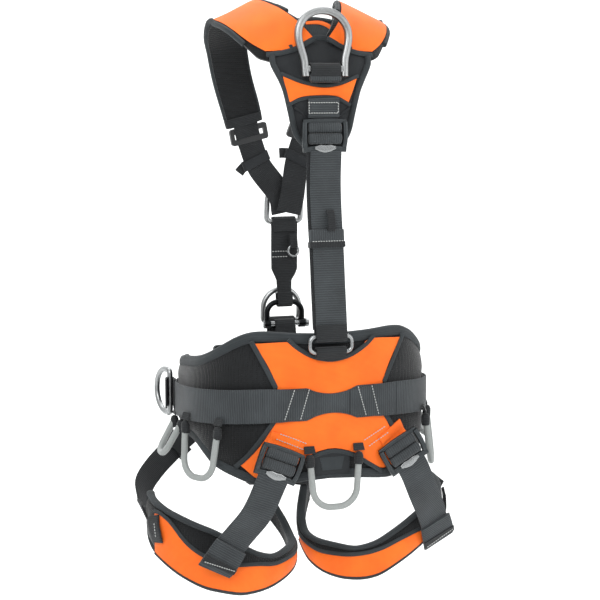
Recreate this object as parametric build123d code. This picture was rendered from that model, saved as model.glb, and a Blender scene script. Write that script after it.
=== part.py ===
from build123d import *
import math
import os

# Full body work harness: padded waist belt, two padded leg loops, and a back and chest yoke.
# Frame: +Z up, the wearer's back faces -Y, the wearer's right side is +X.
# The origin is the centre of the waist opening at the middle height of the belt webbing.

# ---- driving dimensions, mm ----
waist_half_width = 158
waist_half_depth_back = 112
waist_half_depth_front = 122
waist_roundness_back = 2.8
waist_roundness_front = 2.6
pad_end_angle = 120

pad_thickness = 14
panel_thickness = 1.2
webbing_width = 45
webbing_thickness = 2.6
layer_clearance = 0.3
running_clearance = 0.5

thigh_centre_y = 15
thigh_half_width = 108
thigh_half_depth = 96
thigh_gap = 12
thigh_centre_x = thigh_half_width + thigh_gap / 2
leg_pad_thickness = 12

yoke_centre_x = -5
yoke_thickness = 10
front_centre_x = 10
dorsal_bar_height = 466
sternal_bar_height = 245
link_bar_height = 94

ring_rod = 11
ring_width = 84
ring_bow = 84
sternal_rod = 8
sternal_ring_width = 60
sternal_ring_bow = 58
ventral_ring_width = 64
ventral_ring_bow = 52
lateral_ring_width = 70
lateral_ring_bow = 48
lateral_rod = 8
gear_tube = 9
buckle_width = 64
buckle_height = 44
buckle_thickness = 4.5
buckle_rail = 6
friction_bar = 6

sides = {"left": -1, "right": 1}

# Offsets from the wearer's waist to the faces of each layer.
panel_inner = pad_thickness + layer_clearance
panel_outer = panel_inner + panel_thickness
belt_inner = panel_outer + layer_clearance
belt_outer = belt_inner + webbing_thickness


# ---- helpers ----
def table(rows, value):
    """Read a height from rows of (angle, height), straight between the rows."""
    low = rows[0]
    for high in rows[1:]:
        if value <= high[0]:
            share = (value - low[0]) / (high[0] - low[0])
            return low[1] + share * (high[1] - low[1])
        low = high
    return rows[-1][1]


def steps(start, end, count):
    """Evenly spaced values from start to end, both included."""
    return [start + (end - start) * i / count for i in range(count + 1)]


def waist_point(angle, offset, height):
    """A point on the waist outline, moved outwards. Angle 0 is the middle of the back."""
    run = math.sin(math.radians(angle))
    back = math.cos(math.radians(angle))
    depth = waist_half_depth_back if back > 0 else waist_half_depth_front
    power = waist_roundness_back if back > 0 else waist_roundness_front
    reach = ((abs(run) / waist_half_width) ** power + (abs(back) / depth) ** power) ** (-1 / power)
    x = run * reach
    y = -back * reach
    normal_x = math.copysign((abs(x) / waist_half_width) ** (power - 1) / waist_half_width, x)
    normal_y = math.copysign((abs(y) / depth) ** (power - 1) / depth, y)
    normal = Vector(normal_x, normal_y, 0).normalized()
    return Vector(x, y, height) + normal * offset


def thigh_point(side, angle, offset, height):
    """A point on a leg loop's outer outline. Angle 0 is its back, 90 its outer side."""
    run = math.sin(math.radians(angle))
    back = math.cos(math.radians(angle))
    x = thigh_half_width * run
    y = -thigh_half_depth * back
    normal = Vector(run / thigh_half_width, -back / thigh_half_depth, 0).normalized()
    placed = Vector(x, y, 0) + normal * offset
    return Vector(side * (thigh_centre_x + placed.X), thigh_centre_y + placed.Y, height)


def ruled_solid(sections):
    """A closed solid through four-cornered sections."""
    wires = [Wire.make_polygon(corners, close=True) for corners in sections]
    return Solid.make_loft(wires, ruled=True)


def band(point, angles, inner, outer, low, high):
    """A band that follows an outline between two offsets and two edge heights."""
    sections = []
    for angle in angles:
        z_low = low(angle)
        z_high = high(angle)
        sections.append([point(angle, inner, z_low), point(angle, outer, z_low),
                         point(angle, outer, z_high), point(angle, inner, z_high)])
    return ruled_solid(sections)


def ribbon_axes(points, across, index):
    """The running, width and facing directions of a ribbon at one of its points."""
    before = Vector(*points[max(index - 1, 0)])
    after = Vector(*points[min(index + 1, len(points) - 1)])
    run = (after - before).normalized()
    wide = Vector(*across[min(index, len(across) - 1)])
    face = run.cross(wide).normalized()
    return run, face.cross(run).normalized(), face


def ribbon(path, across, widths, thickness, lift=0):
    """Flat webbing along a path, its width along the across directions, lifted off the path if asked."""
    sections = []
    for i, point in enumerate(path):
        run, wide, face = ribbon_axes(path, across, i)
        half = wide * (widths[min(i, len(widths) - 1)] / 2)
        middle = Vector(*point) + face * lift
        deep = face * (thickness / 2)
        sections.append([middle - half - deep, middle + half - deep,
                         middle + half + deep, middle - half + deep])
    return ruled_solid(sections)


def smooth(points, count=4):
    """More points on the smooth curve through the given ones."""
    curve = Spline(*[Vector(*p) for p in points])
    total = count * (len(points) - 1)
    return [tuple(curve @ (i / total)) for i in range(total + 1)]


def rod(path, diameter):
    """A round rod along a path of lines and arcs."""
    start = Plane(origin=path @ 0, z_dir=path % 0)
    return sweep(start * Circle(diameter / 2), path=path)


def d_ring(width, bow, diameter):
    """A D shaped ring, bar along X at the origin, bow along +Z. Sizes are over the outside."""
    half = (width - diameter) / 2
    top = bow - diameter / 2
    corner = diameter * 0.7
    flank = top - half
    outline = FilletPolyline((0, 0, 0), (half, 0, 0), (half, 0, flank), radius=corner)
    arch = ThreePointArc((half, 0, flank), (0, 0, top), (-half, 0, flank))
    back = FilletPolyline((-half, 0, flank), (-half, 0, 0), (0, 0, 0), radius=corner)
    return rod(Wire(outline.edges() + arch.edges() + back.edges()), diameter)


def oval_ring(width, height, diameter, corner):
    """A ring with straight bars along X above and below the origin and rounded ends."""
    reach = (width - diameter) / 2
    bar = (height - diameter) / 2
    right = FilletPolyline((0, 0, bar), (reach, 0, bar), (reach, 0, -bar), (0, 0, -bar), radius=corner)
    left = FilletPolyline((0, 0, -bar), (-reach, 0, -bar), (-reach, 0, bar), (0, 0, bar), radius=corner)
    return rod(Wire(right.edges() + left.edges()), diameter)


def gear_loop(width, drop, diameter, lean):
    """A hanging tube, legs up at z 0 along X, the bottom leaning out along -Y."""
    half = width / 2
    path = FilletPolyline((-half, 0, 0), (-half * 0.84, -lean, -drop), (half * 0.84, -lean, -drop),
                          (half, 0, 0), radius=half * 0.76)
    return rod(path, diameter)


def frame_at(origin, across, outward):
    """A placing frame: local X along the width, local Z away from the body."""
    return Plane(origin=origin, x_dir=across, z_dir=outward).location


def buckle_frame(width, height, thickness, rail):
    """A flat adjuster frame with one window, a fixed bar across its top and a lip below."""
    body = extrude(RectangleRounded(width, height, rail), thickness / 2, both=True)
    window = extrude(RectangleRounded(width - 2 * rail, height - 2 * rail, rail / 3), thickness, both=True)
    body -= window
    bar_at = height / 2 - 2 * rail - friction_bar / 2
    body += extrude(Pos(0, bar_at) * Rectangle(width - rail, friction_bar), thickness / 2.2, both=True)
    return body


def three_bar_slide(width, height):
    """A one piece slide: an outer frame with a middle bar that the webbing threads over."""
    body = extrude(RectangleRounded(width, height, buckle_rail), buckle_thickness / 2, both=True)
    slot = extrude(RectangleRounded(width - 2 * buckle_rail, height * 0.27, 2), buckle_thickness, both=True)
    return body - Pos(0, height * 0.2) * slot - Pos(0, -height * 0.2) * slot


def buckle_bar(width, rail):
    """The loose bar that pinches the webbing, rounded along its length."""
    length = width - 2 * rail - 2 * running_clearance
    return Rot(0, 90, 0) * Cylinder(friction_bar / 2, length)


def adjuster(location, name, parts):
    """Place one adjuster frame and its loose bar."""
    parts[name + "_frame"] = location * buckle_frame(buckle_width, buckle_height, buckle_thickness, buckle_rail)
    parts[name + "_bar"] = location * (Pos(0, -buckle_height * 0.16, 0) * buckle_bar(buckle_width, buckle_rail))


def keeper(location, width, height, wall, gap):
    """A flat sleeve that holds webbing layers together."""
    outer = Box(width + 2 * wall, height, gap + 2 * wall)
    return location * (outer - Box(width, height + 2, gap))


def tab_around(bar, radius, width, tail, thickness, down):
    """Webbing folded round a bar that runs along X, with both layers running on to the tail."""
    down = Vector(*down).normalized()
    side = down.cross(Vector(1, 0, 0))
    turns = steps(-90, 90, 10)
    flat = math.cos(math.radians((turns[1] - turns[0]) / 2))
    reach = (radius + running_clearance) / flat + thickness / 2
    centre = Vector(*bar)
    points = []
    for turn in turns:
        angle = math.radians(turn)
        points.append(centre + side * (math.sin(angle) * reach) - down * (math.cos(angle) * reach))
    squeeze = side * (thickness / 2 + layer_clearance / 2)
    end = centre + down * tail
    path = [end - squeeze] + points + [end + squeeze]
    return ribbon([tuple(p) for p in path], [(1, 0, 0)], [width], thickness)


def group(*solids):
    """Separate solids of the same kind kept as one sub-part."""
    return Compound(children=[solid for solid in solids])


# ---- waist belt ----
pad_top = [(0, 105), (28, 108), (44, 112), (53, 106), (60, 92), (68, 79), (76, 71), (90, 66), (120, 54)]
pad_bottom = [(0, -91), (20, -93), (43, -99), (55, -85), (63, -76), (69, -66), (76, -46), (90, -42), (120, -36)]


def lumbar_pad():
    angles = steps(-pad_end_angle, pad_end_angle, 60)
    return band(waist_point, angles, 0, pad_thickness,
                lambda a: table(pad_bottom, abs(a)), lambda a: table(pad_top, abs(a)))


# The belt rides higher over the small of the back than at the hips.
belt_lift = 13
belt_rise = [(0, belt_lift), (45, belt_lift), (80, 7), (pad_end_angle, 2)]


def lumbar_panel(upper):
    """The coloured skin of the pad above or below the belt, flaring towards its outer corners."""
    gap = webbing_width / 2 + 1
    if upper:
        limit = 45
        low = lambda a: table([(0, belt_lift + gap), (35, belt_lift + gap), (45, 94)], abs(a))
        high = lambda a: table([(0, 98), (45, 99)], abs(a))
    else:
        limit = 52
        low = lambda a: table([(0, -50), (16, -56), (24, -82), (43, -90), (52, -72)], abs(a))
        high = lambda a: table([(0, belt_lift - gap), (36, belt_lift - gap), (45, -44), (52, -68)], abs(a))
    return band(waist_point, steps(-limit, limit, 36), panel_inner, panel_outer, low, high)


def belt_band(start, end, count, centre, inner=belt_inner):
    """Belt webbing round the waist, its middle at centre(angle)."""
    return band(waist_point, steps(start, end, count), inner, inner + webbing_thickness,
                lambda a: centre(a) - webbing_width / 2, lambda a: centre(a) + webbing_width / 2)


front_belt_rise = 48
front_belt_start = pad_end_angle + 2
front_belt_end = 168

parts = {}
parts["lumbar_pad"] = lumbar_pad()
parts["lumbar_panel"] = group(lumbar_panel(True), lumbar_panel(False))
parts["belt_webbing"] = belt_band(-pad_end_angle, pad_end_angle, 60, lambda a: table(belt_rise, abs(a)))

# The tag pocket under the middle of the pad.
parts["tag_pocket"] = band(waist_point, steps(-15, 15, 8), panel_inner, panel_outer + 0.8,
                           lambda a: -88, lambda a: -52 - abs(a) * 0.25 - 1)

for name, side in sides.items():
    start = side * front_belt_start
    end = side * front_belt_end
    climb = [(front_belt_start, belt_rise[-1][1]), (front_belt_end, front_belt_rise)]
    parts["belt_front_" + name] = belt_band(start, end, 12, lambda a: table(climb, abs(a)), pad_thickness * 0.4)
    middle = waist_point(side * 150, pad_thickness * 0.4 + webbing_thickness + 6, front_belt_rise * 0.62)
    outward = waist_point(side * 150, 20, 0) - waist_point(side * 150, 10, 0)
    across = Vector(0, 0, 1)
    parts["belt_buckle_" + name] = frame_at(middle, across, outward) * three_bar_slide(buckle_width, 40)

# ---- ventral bridge, rings and link at the front ----
bridge_y = waist_point(180, 0, 0).Y - 18
ventral_bar = (front_centre_x, bridge_y + 7, link_bar_height + 2)
link_bar = (front_centre_x, bridge_y - 9, link_bar_height)
bridge_width = 42
bridge = ribbon([(front_centre_x, bridge_y, -6), (front_centre_x, bridge_y, 74)],
                [(1, 0, 0)], [bridge_width], 6)
bridge += tab_around(ventral_bar, sternal_rod / 2, bridge_width, 26, webbing_thickness, (0, -0.2, -1))
bridge += tab_around(link_bar, 4, 30, 26, webbing_thickness, (0, 0.3, -1))
parts["ventral_bridge"] = bridge
lean = Rot(3, 0, 0)
parts["ventral_d_ring"] = Pos(*ventral_bar) * (lean * d_ring(ventral_ring_width, ventral_ring_bow, sternal_rod))

link_width = 62
link_height = 40
link_rod = 8
link_pin = 4
pin_clearance = 0.08
link_half = (link_width - link_rod) / 2
link_path = FilletPolyline((-link_half, 0, 4), (-link_half, 0, link_height - link_rod),
                           (link_half, 0, link_height - link_rod), (link_half, 0, 4), radius=16)
link_eye = Rot(0, 90, 0) * Cylinder(6.5, 9)
link_body = rod(link_path, link_rod)
for hand in (-1, 1):
    link_body += Pos(hand * link_half, 0, 0) * link_eye
link_body -= Rot(0, 90, 0) * Cylinder(link_pin + pin_clearance, link_width + 20)
parts["link_ring"] = Pos(*link_bar) * link_body
bolt = Rot(0, 90, 0) * Cylinder(link_pin, link_width + 4)
bolt += Pos(link_width / 2 + 4, 0, 0) * (Rot(0, 90, 0) * Cylinder(6, 4))
bolt -= Pos(link_width / 2 + 6, 0, 0) * Box(2, 1.6, 14)
parts["link_bolt"] = Pos(*link_bar) * bolt

# ---- chest line ----
chest_y = 98
sternal_bar = (front_centre_x + 1, chest_y + 4, sternal_bar_height)
link_top = link_bar_height + link_height - link_rod
strap_top = (front_centre_x + 1, sternal_bar[1] - 1, sternal_bar_height)
sternal_ring = d_ring(sternal_ring_width, sternal_ring_bow, sternal_rod)
parts["sternal_d_ring"] = Pos(*sternal_bar) * (Rot(4, 0, 0) * sternal_ring)
strap = ribbon([(front_centre_x + 1, chest_y, 236), (front_centre_x + 1, chest_y, 175),
                (front_centre_x, link_bar[1] + 2, 158), (front_centre_x, link_bar[1] - 1, link_top + 8)],
               [(1, 0, 0)], [41, 41, 24, 24], 5)
strap += tab_around(sternal_bar, sternal_rod / 2, 36, 14, webbing_thickness, (0, -0.25, -1))
link_top_bar = (front_centre_x, link_bar[1], link_top)
strap += tab_around(link_top_bar, link_rod / 2, 24, 12, webbing_thickness, (0, 0.1, 1))
parts["sternal_strap"] = strap

accessory_bar = (front_centre_x + 12, chest_y - 9, 210)
accessory_radius = 8
accessory_path = Pos(accessory_bar[0], accessory_bar[1], accessory_bar[2] - accessory_radius)
parts["accessory_ring"] = accessory_path * (Rot(90, 0, 0) * Torus(accessory_radius, 1.6))
parts["accessory_tab"] = tab_around(accessory_bar, 2.6, 6, 20, 1.2, (0, 0.1, 1))

# ---- shoulder pads and straps ----
shoulder_back = [(30, -93, 480), (56, -82, 507), (80, -46, 532)]
shoulder_front = [(92, 0, 541), (97, 24, 522), (87, 48, 494), (74, 64, 452), (58, 76, 410), (51, 81, 388)]
shoulder_across = [(0.75, 0, -0.65), (0.8, -0.05, -0.6), (0.88, -0.12, -0.42), (0.9, -0.14, -0.43),
                   (0.94, 0, -0.3), (0.96, 0.1, -0.25), (0.96, 0.15, -0.3), (0.94, 0.2, -0.34),
                   (0.94, 0.2, -0.36)]
shoulder_widths = [70, 84, 82, 74, 60, 55, 53, 52, 50]


def dense(values, count):
    """Straight in-between values, count steps for each given span."""
    result = []
    for first, last in zip(values, values[1:]):
        for i in range(count):
            share = i / count
            result.append(tuple(a + (b - a) * share for a, b in zip(first, last)))
    result.append(tuple(values[-1]))
    return result


def shoulder_line(side):
    """The middle line of a shoulder pad and its width directions, densely."""
    path = []
    across = []
    for x, y, z in shoulder_back + shoulder_front:
        path.append((yoke_centre_x + side * x, y, z))
    for x, y, z in shoulder_across:
        across.append((side * x, y, z))
    return smooth(path, 3), dense(across, 3)


def shoulder_pad(side):
    path, across = shoulder_line(side)
    widths = [w[0] for w in dense([(w,) for w in shoulder_widths], 3)]
    return ribbon(path, across, widths, yoke_thickness)


def shoulder_panel(side):
    """The coloured skin on the outside of the shoulder, from the yoke to the top of the shoulder."""
    path, across = shoulder_line(side)
    lift = yoke_thickness / 2 + 2 * running_clearance + panel_thickness / 2
    widths = [w[0] for w in dense([(44,), (62,), (60,), (50,)], 3)]
    return ribbon(path[1:11], across[1:11], widths, panel_thickness, side * lift)


def shoulder_strap_path(side):
    layer = webbing_thickness + layer_clearance
    depth = 90 if side < 0 else 90 - 2 * layer
    return [(yoke_centre_x + side * 40, 85, 359), (yoke_centre_x + side * 28 + 3, 88, 325),
            (front_centre_x + side * 9, depth, 285), (front_centre_x + side * 3, depth, 258)]


shoulder_web = 44
shoulder_buckles = []
keeper_wall = 1.6
for name, side in sides.items():
    parts["shoulder_pad_" + name] = shoulder_pad(side)
    parts["shoulder_panel_" + name] = shoulder_panel(side)
    route = smooth(shoulder_strap_path(side), 3)
    across = [(0.88, 0.05, side * -0.42)]
    parts["shoulder_strap_" + name] = ribbon(route, across, [shoulder_web], webbing_thickness)
    run, wide, face = ribbon_axes(route, across, 2)
    place = frame_at(route[2], wide, face)
    parts["shoulder_keeper_" + name] = keeper(place, shoulder_web + 4 * running_clearance, 14, keeper_wall,
                                              webbing_thickness + 4 * running_clearance)
    run, wide, face = ribbon_axes(route, across, 0)
    middle = Vector(*route[0]) - run * 15
    shell = extrude(RectangleRounded(shoulder_web + 14, 24, 4), 2.5, both=True)
    shell -= extrude(Rectangle(shoulder_web + 2, 8), 4, both=True)
    shoulder_buckles.append(frame_at(middle, wide, face) * shell)
parts["shoulder_buckles"] = group(*shoulder_buckles)

# ---- yoke body and dorsal attachment ----
yoke_y = -99
yoke_rows = [(362, 30, 0), (380, 38, 0), (404, 43, 0), (425, 49, 0), (440, 53, 0), (455, 60, 1), (474, 70, 4),
             (500, 60, 13), (520, 48, 24), (532, 40, 32)]
yoke_sections = []
for height, half, forward in yoke_rows:
    back_face = yoke_y - 4 + forward
    yoke_sections.append([Vector(yoke_centre_x - half, back_face, height),
                          Vector(yoke_centre_x + half, back_face, height),
                          Vector(yoke_centre_x + half, back_face + yoke_thickness, height),
                          Vector(yoke_centre_x - half, back_face + yoke_thickness, height)])
parts["yoke_pad"] = ruled_solid(yoke_sections)
ring_recess = Pos(yoke_centre_x, yoke_y - 14, dorsal_bar_height - 4) * Box(50, 22, 44)
for name, side in sides.items():
    cut = parts["shoulder_pad_" + name] - parts["yoke_pad"] - ring_recess
    parts["shoulder_pad_" + name] = cut.solids().sort_by(SortBy.VOLUME)[-1]
    cut = parts["shoulder_panel_" + name] - parts["yoke_pad"] - ring_recess
    parts["shoulder_panel_" + name] = cut.solids().sort_by(SortBy.VOLUME)[-1]
parts["shoulder_pad_right"] = parts["shoulder_pad_right"] - parts["shoulder_pad_left"]

dorsal_x = yoke_centre_x
dorsal_bar_y = yoke_y - ring_rod / 2 - running_clearance - webbing_thickness - 3.4
dorsal_bar = (dorsal_x, dorsal_bar_y, dorsal_bar_height)
parts["dorsal_d_ring"] = Pos(*dorsal_bar) * (Rot(-7, 0, 0) * d_ring(ring_width, ring_bow, ring_rod))
dorsal_loop = tab_around(dorsal_bar, ring_rod / 2, 44, 16, webbing_thickness, (0, 0.02, -1))

# The sewn webbing below the ring runs down to the top bar of the adjuster.
dorsal_web_y = yoke_y - 4 - layer_clearance - panel_thickness - layer_clearance
parts["yoke_bow_panel"] = ribbon(
    [(dorsal_x, yoke_y - 5.2, 448), (dorsal_x, yoke_y - 5.2, 432), (dorsal_x, yoke_y - 5.2, 414)],
    [(1, 0, 0)], [100, 62, 86], panel_thickness)
dorsal_web = ribbon([(dorsal_x, dorsal_web_y - 1.5, 430), (dorsal_x, dorsal_web_y - 1.5, 403)],
                                 [(1, 0, 0)], [webbing_width], webbing_thickness)
parts["dorsal_webbing"] = group(dorsal_loop, dorsal_web)
dorsal_buckle_y = dorsal_web_y - 2
dorsal_buckle_z = 378
adjuster(frame_at((dorsal_x, dorsal_buckle_y, dorsal_buckle_z), (1, 0, 0), (0, -1, 0)), "dorsal_buckle", parts)

# ---- dorsal strap, its keeper and the ring on the lumbar pad ----
strap_thickness = 2 * webbing_thickness
back_ring_width = 66
back_ring_height = 27
back_ring_rod = 5.5
back_ring_corner = 8
back_ring_z = 95
back_ring_gap = layer_clearance + webbing_thickness + running_clearance
back_ring_y = -(waist_half_depth_back + panel_outer + back_ring_gap + back_ring_rod / 2 + layer_clearance)
dorsal_route = [(dorsal_x, dorsal_buckle_y, dorsal_buckle_z - buckle_height / 2 - 2), (dorsal_x, -109, 300),
                (dorsal_x + 1, -119, 210), (dorsal_x + 1, -127, 150), (dorsal_x + 1, back_ring_y, 122)]
dorsal_path = smooth(dorsal_route, 3)
dorsal_strap = ribbon(dorsal_path, [(1, 0, 0)], [webbing_width], strap_thickness)
keeper_index = 6
run, wide, face = ribbon_axes(dorsal_path, [(1, 0, 0)], keeper_index)
keeper_place = frame_at(dorsal_path[keeper_index], wide, face)
parts["dorsal_strap_keeper"] = keeper(keeper_place, webbing_width + 2 * running_clearance, 26, 1.6,
                                      strap_thickness + 4 * running_clearance)
upper_bar = back_ring_height / 2 - back_ring_rod / 2
ring_at = (dorsal_x + 1, back_ring_y, back_ring_z)
parts["back_ring"] = Pos(*ring_at) * oval_ring(back_ring_width, back_ring_height, back_ring_rod, back_ring_corner)
back_loop_width = back_ring_width - back_ring_rod - 2 * back_ring_corner - 1
top_bar = (ring_at[0], ring_at[1], back_ring_z + upper_bar)
dorsal_strap += tab_around(top_bar, back_ring_rod / 2, back_loop_width, 16, webbing_thickness, (0, 0, 1))
parts["dorsal_strap"] = dorsal_strap
low_bar = (ring_at[0], ring_at[1], back_ring_z - upper_bar)
parts["back_ring_loop"] = tab_around(low_bar, back_ring_rod / 2, back_loop_width, 42,
                                      webbing_thickness, (0, 0, -1))

# ---- lateral rings on the sides of the belt ----
lateral_angle = 106
lateral_tabs = []
lateral_roots = {}
lateral_bows = {}
for name, side in sides.items():
    root = waist_point(side * lateral_angle, belt_outer + lateral_rod / 2 + webbing_thickness + 1, 10)
    along = waist_point(side * (lateral_angle + 6), 0, 0) - waist_point(side * (lateral_angle - 6), 0, 0)
    outward = waist_point(side * lateral_angle, 10, 0) - waist_point(side * lateral_angle, 0, 0)
    bow = (along.normalized() + outward.normalized() * 0.45).normalized()
    lateral_roots[name] = root
    lateral_bows[name] = bow
    ring = d_ring(lateral_ring_width, lateral_ring_bow, lateral_rod)
    upright = Plane(origin=root, x_dir=(0, 0, 1), z_dir=bow)
    parts["lateral_d_ring_" + name] = upright.location * ring
    turned = Plane(origin=root, x_dir=(0, 0, 1), z_dir=along.normalized() * -1)
    local = tab_around((0, 0, 0), lateral_rod / 2, 44, 20, webbing_thickness, (0, 0.02 * side, 1))
    lateral_tabs.append(turned.location * local)
parts["lateral_d_tabs"] = group(*lateral_tabs)

# ---- gear loops along the lower edge of the belt ----
gear_offset = panel_outer + gear_tube / 2 + 1
gear_loops = {
    "gear_loop_rear": (1, 72, 68, 4, -62),
    "gear_loop_left_back": (-69, 66, 68, 8, -22),
    "gear_loop_right_back": (69, 66, 68, 8, -22),
    "gear_loop_left_front": (-94, 36, 42, 24, -26),
    "gear_loop_right_front": (94, 36, 42, 24, -26),
}
for name, (angle, width, drop, lean_out, height) in gear_loops.items():
    root = waist_point(angle, gear_offset, height)
    outward = waist_point(angle, 10, 0) - waist_point(angle, 0, 0)
    across = Vector(0, 0, 1).cross(outward).normalized()
    place = Plane(origin=root, x_dir=across, z_dir=(0, 0, 1))
    loop = gear_loop(width, drop, gear_tube, lean_out)
    parts[name] = place.location * loop

# ---- leg loops ----
leg_top = [(-132, -128), (-112, -172), (-90, -200), (-70, -206), (-50, -208), (-30, -212), (-13, -203),
           (0, -189), (22, -167), (50, -150), (76, -138), (106, -128)]
leg_bottom = {
    "left": [(-132, -168), (-112, -196), (-90, -217), (-74, -230), (-57, -240), (-38, -248), (-20, -256),
             (0, -259), (28, -248), (45, -235), (65, -217), (86, -202), (106, -184)],
    "right": [(-132, -168), (-112, -196), (-90, -217), (-74, -239), (-57, -251), (-41, -256), (-25, -256),
              (-12, -251), (5, -233), (28, -210), (50, -202), (86, -194), (106, -180)],
}
buckle_spot = {"left": (-79, -63, 22), "right": (106, -61, -30)}
# The leg straps pass through (angle, height, offset) points off the thigh.
riser_route = {
    "left": [(-3, -128, 49), (4, -160, 31), (12, -186, 18), (18, -207, 16)],
    "right": [(11, -122, 39), (20, -152, 26), (30, -182, 16), (36, -200, 11)],
}
front_route = [(112, -152, 4), (124, -130, 11), (139, -112, 13), (156, -92, 15), (175, -66, 21), (-166, -40, 32)]
inner_route = [(-140, -136, 7), (-141, -100, 21)]
buckle_y = -(waist_half_depth_back + belt_outer + 6)
riser_tops = []
leg_up = {}

for name, side in sides.items():
    low = leg_bottom[name]
    leg = lambda a, offset, height: thigh_point(side, a, offset, height)
    parts["leg_pad_" + name] = band(leg, steps(-132, 106, 48), -leg_pad_thickness, 0,
                                    lambda a: table(low, a), lambda a: table(leg_top, a))
    parts["leg_panel_" + name] = band(leg, steps(-96, 92, 40), layer_clearance, layer_clearance + panel_thickness,
                                      lambda a: table(low, a) + 3, lambda a: table(leg_top, a) - 11)
    x, z, tilt = buckle_spot[name]
    tilt_axis = Vector(math.cos(math.radians(tilt)), 0, -math.sin(math.radians(tilt)))
    depth = buckle_y if name == "left" else buckle_y + 8
    adjuster(frame_at((x, depth, z), tilt_axis, (0, -1, 0)), "leg_buckle_" + name, parts)
    down = Vector(0, 1, 0).cross(tilt_axis) * -1
    if down.Z > 0:
        down = down * -1
    leg_up[name] = down * -1
    sewn = Vector(x, depth, z) - down * (buckle_height / 2 + 14)
    near = Vector(x, depth, z) - down * (buckle_height / 2 + 1)
    riser_start = Vector(x, depth - webbing_thickness, z) + down * (buckle_height / 2 + 9)
    riser = [tuple(riser_start)]
    for angle, height, offset in riser_route[name]:
        riser.append(tuple(thigh_point(side, angle, offset, height)))
    outer = []
    for angle, height, offset in front_route:
        outer.append(tuple(thigh_point(side, angle, offset, height)))
    outer.append((side * 42, bridge_y + 34, -18))
    inner = []
    for angle, height, offset in inner_route:
        inner.append(tuple(thigh_point(side, angle, offset, height)))
    inner += [(side * 25, bridge_y + 8, -62), (side * 20, bridge_y + 8, -28)]
    riser_tops.append(ribbon([tuple(sewn + Vector(0, 3, 0)), tuple(near)], [tuple(tilt_axis)],
                             [webbing_width], webbing_thickness))
    parts["leg_riser_" + name] = ribbon(smooth(riser, 3), [tuple(tilt_axis)], [webbing_width],
                                        webbing_thickness)
    outer = smooth(outer, 3)
    inner = smooth(inner, 3)
    across = [(side * 0.35, 0.35, 0.87)]
    parts["leg_front_strap_" + name] = ribbon(outer, across, [34], webbing_thickness)
    parts["leg_inner_strap_" + name] = ribbon(inner, [(0.9, side * -0.4, 0)], [30], webbing_thickness)
    run, wide, face = ribbon_axes(outer, across, 9)
    parts["leg_front_buckle_" + name] = keeper(frame_at(outer[9], wide, face), 34 + 4 * running_clearance, 20,
                                               3, webbing_thickness + 4 * running_clearance)
parts["leg_riser_tops"] = group(*riser_tops)

os.makedirs("parts", exist_ok=True)
for part_name, part in parts.items():
    part.label = part_name
    export_step(part, "parts/" + part_name + ".step")
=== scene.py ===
import bpy
import bmesh
import math
from mathutils import Matrix, Vector, noise


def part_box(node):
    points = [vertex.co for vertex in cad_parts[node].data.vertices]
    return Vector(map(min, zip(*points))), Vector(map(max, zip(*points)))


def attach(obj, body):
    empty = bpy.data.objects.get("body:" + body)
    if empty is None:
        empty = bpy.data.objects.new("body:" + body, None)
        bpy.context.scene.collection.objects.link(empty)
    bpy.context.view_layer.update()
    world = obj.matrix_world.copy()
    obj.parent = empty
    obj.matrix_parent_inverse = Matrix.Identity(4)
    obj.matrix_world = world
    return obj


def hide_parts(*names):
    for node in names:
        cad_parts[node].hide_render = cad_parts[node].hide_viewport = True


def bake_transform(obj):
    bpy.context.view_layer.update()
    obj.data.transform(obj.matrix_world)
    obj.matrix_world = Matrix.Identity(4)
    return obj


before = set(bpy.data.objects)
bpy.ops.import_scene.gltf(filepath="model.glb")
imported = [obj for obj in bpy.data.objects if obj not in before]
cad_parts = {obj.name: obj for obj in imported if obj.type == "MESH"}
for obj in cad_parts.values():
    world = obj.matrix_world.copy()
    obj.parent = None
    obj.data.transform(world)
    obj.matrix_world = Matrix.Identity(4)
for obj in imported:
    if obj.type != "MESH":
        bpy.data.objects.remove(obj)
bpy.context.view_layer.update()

# A full body work harness: padded waist belt, two padded leg loops, back and chest yoke.
# Lengths are in millimetres until a mesh is made, then in metres. The wearer's back faces -Y.
MM = 0.001
ROOT = "harness"
SIDES = {"left": -1, "right": 1}
YOKE_X = -5
FRONT_X = 10
WEB = 45


# ---- materials ----
def linear(code):
    """An sRGB hex colour as linear RGBA."""
    parts = [int(code[i:i + 2], 16) / 255 for i in (0, 2, 4)]
    return tuple(c / 12.92 if c < 0.04045 else ((c + 0.055) / 1.055) ** 2.4 for c in parts) + (1.0,)


def add(tree, kind, inputs=None, **settings):
    """One node with its settings, its values and its links."""
    node = tree.nodes.new(kind)
    for key, value in settings.items():
        setattr(node, key, value)
    for key, value in (inputs or {}).items():
        if isinstance(value, bpy.types.NodeSocket):
            tree.links.new(value, node.inputs[key])
        else:
            node.inputs[key].default_value = value
    return node


def finish(name, **sockets):
    """A material with one shader, its steady values set on the shader's own sockets."""
    material = bpy.data.materials.new(name)
    material.use_nodes = True
    tree = material.node_tree
    tree.nodes.clear()
    shader = add(tree, "ShaderNodeBsdfPrincipled", {k.replace("_", " "): v for k, v in sockets.items()})
    add(tree, "ShaderNodeOutputMaterial", {"Surface": shader.outputs[0]})
    return material, tree, shader


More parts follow.
